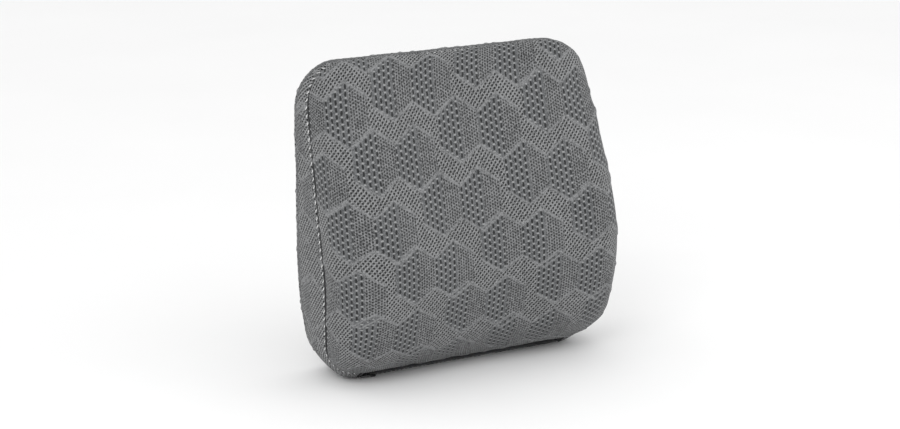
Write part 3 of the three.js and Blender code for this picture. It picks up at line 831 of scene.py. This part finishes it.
def tube(name, path, radius, material, closed):
    """A round cord along a path of points."""
    curve = bpy.data.curves.new(name, "CURVE")
    curve.dimensions = "3D"
    curve.bevel_depth = radius
    curve.bevel_resolution = 2
    curve.use_fill_caps = True
    spline = curve.splines.new("POLY")
    spline.points.add(len(path) - 1)
    spline.points.foreach_set("co", np.column_stack([path, np.ones(len(path))]).ravel())
    spline.use_cyclic_u = closed
    drawn = bpy.data.objects.new(name, curve)
    mesh = bpy.data.meshes.new_from_object(drawn)
    bpy.data.objects.remove(drawn)
    mesh.shade_smooth()
    mesh.materials.clear()
    mesh.materials.append(material)
    return new_object(name, mesh)


CORD_RADIUS = 1.5 * MM
CORD_DEPTH = 1.4 * MM


def seam_path(ring, behind):
    """Places and outward directions along a seam on the wall."""
    deep = np.broadcast_to(behind, ring.shape)
    return wall(ring, deep), outward(wall, ring, deep + 2e-5, 1e-4, 1e-5)


front_ring = np.linspace(RIGHT_FOOT, LEFT_FOOT, 420)
rear_ring = np.linspace(0, 4, 480, endpoint=False)
SEAMS = {
    "front": seam_path(front_ring, 0.0),
    "rear": seam_path(rear_ring, wall_depth(rear_ring) - BACK_EDGE_RADIUS),
}
for name, (path, out) in SEAMS.items():
    middle = path - out * CORD_DEPTH
    middle[:, 2] = np.maximum(middle[:, 2], CORD_RADIUS)
    rear = name == "rear"
    # The front fold takes the painted shade of its groove; the rear fold has its own grey.
    fold = tube(name + "_seam_fold", middle, CORD_RADIUS, REAR_FOLD if rear else SHADED_FOLD, rear)
    fit(fold, name + "_seam_cord")

# Under the foot the panels are sewn to the zip's tapes, and a thinner fold closes three of those joints, in the
# same painted shade as the front fold.
FOOT_FOLD_RADIUS = 0.9 * MM
band = np.linspace(0.1 * MM, ZIP_BAND, 12)
run = np.linspace(FOOT_START, RIGHT_FOOT, 120)
foot_ring = np.concatenate([np.full(11, run[0]), run, np.full(11, run[-1])])
foot_path = wall(foot_ring, np.concatenate([band[:0:-1], np.full(len(run), band[0]), band[1:]]))
foot_path[:, 2] = np.maximum(foot_path[:, 2], FOOT_FOLD_RADIUS + FLOOR_GAP)
fit(tube("foot_seam_fold", foot_path, FOOT_FOLD_RADIUS, SHADED_FOLD, False))
print("seam folds:", len(front_ring), "points in front,", len(rear_ring), "behind")


# %% Stitches by Geometry Nodes
def repeat_tree(name, shape):
    """A tree that sets one shape on each point, turned by the point's own directions."""
    tree = bpy.data.node_groups.new(name, "GeometryNodeTree")
    face = tree.interface
    face.new_socket("Geometry", in_out="INPUT", socket_type="NodeSocketGeometry")
    for label in ("Length", "Width", "Thickness"):
        face.new_socket(label, in_out="INPUT", socket_type="NodeSocketFloat")
    face.new_socket("Finish", in_out="INPUT", socket_type="NodeSocketMaterial")
    face.new_socket("Geometry", in_out="OUTPUT", socket_type="NodeSocketGeometry")
    given = add(tree, "NodeGroupInput").outputs
    size = {0: given["Length"], 1: given["Width"], 2: given["Thickness"]}
    size = add(tree, "ShaderNodeCombineXYZ", size).outputs[0]
    turn = None
    for label, settings in (("aim", {"axis": "X"}), ("out", {"axis": "Z", "pivot_axis": "X"})):
        way = add(tree, "GeometryNodeInputNamedAttribute", {"Name": label}, data_type="FLOAT_VECTOR").outputs[0]
        inputs = {"Vector": way} if turn is None else {"Vector": way, "Rotation": turn}
        turn = add(tree, "FunctionNodeAlignRotationToVector", inputs, **settings).outputs[0]
    inputs = {"Points": given["Geometry"], "Instance": shape(tree), "Rotation": turn, "Scale": size}
    placed = add(tree, "GeometryNodeInstanceOnPoints", inputs).outputs[0]
    real = add(tree, "GeometryNodeRealizeInstances", {0: placed}).outputs[0]
    done = add(tree, "GeometryNodeSetMaterial", {"Geometry": real, "Material": given["Finish"]}).outputs[0]
    add(tree, "NodeGroupOutput", {0: done})
    return tree


def thread_shape(tree):
    """A thread's run between two needle holes, fat in its middle."""
    return add(tree, "GeometryNodeMeshUVSphere", {"Segments": 8, "Rings": 6, "Radius": 0.5}).outputs["Mesh"]


STITCHES = repeat_tree("set_stitches", thread_shape)
print("tree:", STITCHES.name, len(STITCHES.nodes), "nodes")


# %% Run a tree on points
def set_repeats(name, tree, points, vectors, inputs):
    """Runs a tree on bare points and keeps its result as a plain mesh."""
    mesh = bpy.data.meshes.new(name)
    mesh.from_pydata(points.tolist(), [], [])
    for label, values in vectors.items():
        layer = mesh.attributes.new(label, "FLOAT_VECTOR", "POINT")
        layer.data.foreach_set("vector", values.astype(np.float32).ravel())
    seed = new_object(name + "_points", mesh)
    modifier = seed.modifiers.new(name, "NODES")
    modifier.node_group = tree
    for item in tree.interface.items_tree:
        if item.in_out == "INPUT" and item.name in inputs:
            modifier[item.identifier] = inputs[item.name]
    result = bpy.data.meshes.new_from_object(seed.evaluated_get(bpy.context.evaluated_depsgraph_get()))
    bpy.data.objects.remove(seed)
    result.shade_smooth()
    print(name + ":", len(points), "repeats,", len(result.polygons), "faces")
    return new_object(name, result)


# %% Sew the stitches
STITCH_PITCH = 8 * MM
STITCH_LENGTH = 6.8 * MM
STITCH_SLANT = 6.0 * MM
STITCH_NEAR = 0.6 * MM
STITCH_FAR = 3.0 * MM
STITCH_THICKNESS = 1.3 * MM
STITCH_PROUD = 0.15 * MM
SUNK_THREAD_SHARE = 0.4


def seam_stitches(name, panel, first, last, at_front, thread):
    """Slanting stitches beside a panel's front or rear seam, laid on its cloth."""
    surface = SURFACES[panel]
    rows, columns = surface.shape[:2]
    count = int((journey(last) - journey(first)) / STITCH_PITCH)
    column = (np.arange(count) + 0.5) / count * (columns - 1)
    t = first + column / (columns - 1) * (last - first)
    front_gap = ZIP_BAND if panel == "foot_wall" else 0.0
    row_step = (wall_depth(t) - BACK_EDGE_RADIUS - front_gap) / (rows - 1)
    slant = STITCH_SLANT / STITCH_PITCH / count * (columns - 1)
    ends = []
    for reach, shift in ((STITCH_NEAR, -0.5), (STITCH_FAR, 0.5)):
        row = reach / row_step
        place = np.clip(column + shift * slant, 0, columns - 1)
        ends.append(sample(surface, rows - 1 - row if at_front else row, place))
    aim = ends[1] - ends[0]
    aim /= np.linalg.norm(aim, axis=1, keepdims=True)
    out = outward(wall, t, np.full(count, 20 * MM), 1e-4, 1e-5)
    thickness = STITCH_THICKNESS if at_front else SUNK_THREAD_SHARE * STITCH_THICKNESS
    middle = (ends[0] + ends[1]) / 2 + out * STITCH_PROUD
    middle[:, 2] = np.maximum(middle[:, 2], thickness / 2)
    piece = set_repeats(name, STITCHES, middle, {"aim": aim, "out": out},
                        {"Length": STITCH_LENGTH, "Width": thickness, "Thickness": thickness, "Finish": thread})
    fit(piece)


seam_stitches("front_seam_stitches", "side_wall", RIGHT_FOOT, LEFT_FOOT, True, THREAD)
seam_stitches("rear_seam_stitches", "side_wall", RIGHT_FOOT, LEFT_FOOT, False, INNER_THREAD)
seam_stitches("foot_seam_stitches", "foot_wall", FOOT_START, RIGHT_FOOT, False, INNER_THREAD)

# %% [markdown]
# ## The zip
# A nylon zip lets the cover come off for washing. It runs across the foot just behind the front panel's
# lower edge, half hidden by it. Tapes and end stops keep their drawn shapes. The teeth repeat, so a second
# tree sets a rounded block at each pitch, and a moulded spine joins them. The slider and its pull are copies
# of the drawn ones with their edges rounded.

# %% Zip finishes
def smooth_finish(name, dark, light, roughness, grain, **surface):
    """A hard finish whose tone and gloss vary a little over a grain size in millimetres."""
    material, tree, shader = blank_material(name, **surface)
    place = add(tree, "ShaderNodeTexCoord").outputs["Object"]
    cloud = add(tree, "ShaderNodeTexNoise", {"Vector": place, "Scale": 1 / (grain * MM), "Detail": 3.0})
    cloud = cloud.outputs["Fac"]
    colour = add(tree, "ShaderNodeMix", {"Factor": cloud, "A": linear(dark), "B": linear(light)}, data_type="RGBA")
    tree.links.new(colour.outputs["Result"], shader.inputs["Base Color"])
    span = {"Value": cloud, "To Min": roughness * 0.8, "To Max": roughness * 1.2}
    gloss = add(tree, "ShaderNodeMapRange", span).outputs[0]
    tree.links.new(gloss, shader.inputs["Roughness"])
    bump = add(tree, "ShaderNodeBump", {"Height": cloud, "Strength": 0.25, "Distance": 0.05 * MM}).outputs[0]
    tree.links.new(bump, shader.inputs["Normal"])
    return material


# Moulded nylon is dull and even. Baked enamel is a shade deeper, with a thin clear gloss.
TAPE = ribbed_yarn("woven_polyester_tape", "#2a2b2d", "#3c3d40", scale=260.0, distortion=0.0, strength=0.6,
                   depth=0.2, Roughness=0.9, Sheen_Weight=0.15)
NYLON = smooth_finish("moulded_nylon", "#161719", "#222325", 0.45, 0.9)
ENAMEL = smooth_finish("baked_black_enamel", "#0d0d0e", "#151516", 0.3, 2.5,
                       Coat_Weight=0.35, Coat_Roughness=0.2)
for node in ("zip_tape_front", "zip_tape_rear"):
    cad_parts[node].material_slots[0].material = TAPE
for node in ("zip_stop_left", "zip_stop_right"):
    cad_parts[node].material_slots[0].material = NYLON

# %% Zip teeth
TOOTH_PITCH = 3.2 * MM
TOOTH_SIZE = (3.0 * MM, 1.35 * MM, 1.3 * MM)
SPINE_ASIDE, SPINE_RADIUS = 1.0 * MM, 0.5 * MM


def tooth_shape(tree):
    """A block with softened corners."""
    cube = add(tree, "GeometryNodeMeshCube").outputs["Mesh"]
    return add(tree, "GeometryNodeSubdivisionSurface", {"Mesh": cube, "Level": 2, "Edge Crease": 0.75}).outputs[0]


TEETH = repeat_tree("set_zip_teeth", tooth_shape)
EDGE_FRONT = np.array([0, BACK_Y - WALL_DEPTHS[0], FOOT_LIP])
EDGE_REAR = np.array([0, EDGE_FRONT[1] + ZIP_BAND, 0])
ACROSS = (EDGE_FRONT - EDGE_REAR) / np.linalg.norm(EDGE_FRONT - EDGE_REAR)
OUT = np.cross(ACROSS, (1, 0, 0))


def zip_row(node, side):
    """One side's teeth and the spine that joins them."""
    low, high = (np.array(corner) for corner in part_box(node))
    count = round((high[0] - low[0]) / TOOTH_PITCH)
    middle = (low + high) / 2
    x = low[0] + (np.arange(count) + 0.5) * TOOTH_PITCH
    places = np.column_stack([x, np.full(count, middle[1]), np.full(count, middle[2])])
    ways = {"aim": np.tile(ACROSS, (count, 1)), "out": np.tile(OUT, (count, 1))}
    teeth = set_repeats(node + "_moulded", TEETH, places, ways,
                        dict(zip(("Length", "Width", "Thickness"), TOOTH_SIZE), Finish=NYLON))
    path = np.array([(end, *middle[1:]) for end in (low[0], high[0])]) + ACROSS * side * SPINE_ASIDE
    spine = tube(node + "_spine", path, SPINE_RADIUS, NYLON, False)
    fit(teeth, node)
    fit(spine)


zip_row("zip_teeth_front", 1)
zip_row("zip_teeth_rear", -1)


# %% Slider and pull
def merged_copy(node, name, change, finish):
    """A new piece with a drawn node's shape: its points merged, then changed, with a finish."""
    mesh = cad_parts[node].data.copy()
    work = bmesh.new()
    work.from_mesh(mesh)
    bmesh.ops.remove_doubles(work, verts=work.verts, dist=0.001 * MM)
    change(work)
    work.to_mesh(mesh)
    work.free()
    mesh.shade_smooth()
    piece = new_object(name, mesh)
    piece.material_slots[0].material = finish
    print(name + ":", len(mesh.polygons), "faces")
    return piece


def flatten(work):
    """Takes away the edges that lie within a flat face, so that only real edges get rounded."""
    bmesh.ops.dissolve_limit(work, angle_limit=math.radians(2), verts=work.verts, edges=work.edges)


def rounded_copy(node, width, body):
    """A cast part of the zip with its edges rounded."""
    piece = merged_copy(node, node + "_cast", flatten, ENAMEL)
    bevel = piece.modifiers.new("round_edges", "BEVEL")
    bevel.width = width
    bevel.segments = 3
    bevel.limit_method = "ANGLE"
    bevel.angle_limit = math.radians(35)
    bevel.harden_normals = True
    fit(piece, node, body)


rounded_copy("zip_slider", 0.3 * MM, "slider")
rounded_copy("zip_pull", 0.25 * MM, "pull")

# %% [markdown]
# ## Lining and foam
# Neither shows while the zip is shut, but an opened cover would show both. The lining is a thin stretch knit
# and the foam is a cream block with fine open cells.

# %% Lining and foam finishes
LINING = smooth_finish("stretch_knit_lining", "#c9c8c2", "#dedcd5", 0.9, 1.2)
FOAM = smooth_finish("open_cell_foam", "#d8ccad", "#efe6cc", 0.95, 0.8)


def draw_in(work):
    """Draws the corners in as the cover's are, but lifts nothing."""
    for vert, place in zip(work.verts, softened(np.array([v.co for v in work.verts]))):
        vert.co = (place[0], place[1], min(place[2], vert.co.z))


for node, name, finish, slot, fill in (
    ("liner_front", "lining_front", LINING, "lining", 0.9),
    ("liner_back", "lining_back", LINING, "lining", 0.9),
    ("foam_core", "foam_block", FOAM, "foam", 1.0),
):
    fit(merged_copy(node, name, draw_in, finish), node)

# %% [markdown]
# ## Floor, light and camera
# The cushion stands on a pale floor that runs into a pale surround. Large lamps on both sides give a flat
# light with only a soft shadow, a little stronger from the upper left.

# %% Floor
# Matt painted board, very slightly mottled
BOARD = smooth_finish("matt_white_board", "#f1f1f1", "#f6f6f6", 0.9, 400)
FLOOR_SIZE = 30.0


def plane(name, size, z):
    """A flat square about the cushion's place."""
    mesh = bpy.data.meshes.new(name)
    corners = [(-size, -size, z), (size, -size, z), (size, size, z), (-size, size, z)]
    mesh.from_pydata(corners, [], [(0, 1, 2, 3)])
    mesh.materials.append(BOARD)
    return new_object(name, mesh)


plane("floor", FLOOR_SIZE, CAD_BOX[0].z)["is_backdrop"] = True

# %% Light
def soft_lamp(name, place, size, power):
    """A square lamp aimed at the cushion's middle."""
    lamp = bpy.data.lights.new(name, "AREA")
    lamp.size = size
    lamp.energy = power
    holder = new_object(name, lamp)
    holder.location = place
    holder.rotation_euler = (Vector((0, 0, HEIGHT / 2)) - Vector(place)).to_track_quat("-Z", "Y").to_euler()


world = bpy.data.worlds.new("pale_room")
scene.world = world
world.use_nodes = True
sky = world.node_tree.nodes["Background"].inputs
sky["Color"].default_value = linear("#ffffff")
sky["Strength"].default_value = 1.0
soft_lamp("upper_left_lamp", (-1.6, -1.4, 1.7), 1.2, 16)
soft_lamp("right_lamp", (1.6, -1.2, 1.2), 1.4, 7)

# %% Camera
CAMERA_SIDE = math.radians(30.14)
CAMERA_UP = math.radians(14.34)
CAMERA_DISTANCE = 2.462
forward = Vector((math.sin(CAMERA_SIDE) * math.cos(CAMERA_UP), math.cos(CAMERA_SIDE) * math.cos(CAMERA_UP),
                  -math.sin(CAMERA_UP)))
aim_point = Vector((0, BACK_Y - 40 * MM, HEIGHT / 2))
lens = bpy.data.cameras.new("view")
lens.lens = 93.6
lens.shift_x = -0.004
lens.shift_y = -0.0071
viewer = new_object("view", lens)
viewer.location = aim_point - forward * CAMERA_DISTANCE
viewer.rotation_euler = forward.to_track_quat("-Z", "Y").to_euler()
scene.camera = viewer
scene.view_settings.view_transform = "Standard"

# %% [markdown]
# ## Sizes and finish
# The box of the finished cushion is written beside the drawn one, to see how far the cloth stands proud.

# %% Write the sizes
bpy.context.view_layer.update()
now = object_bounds()
proud = [[round((b - a) / MM, 1) for a, b in zip(x, y)] for x, y in zip(CAD_BOX, now)]
print("proud of the frame (mm):", proud)
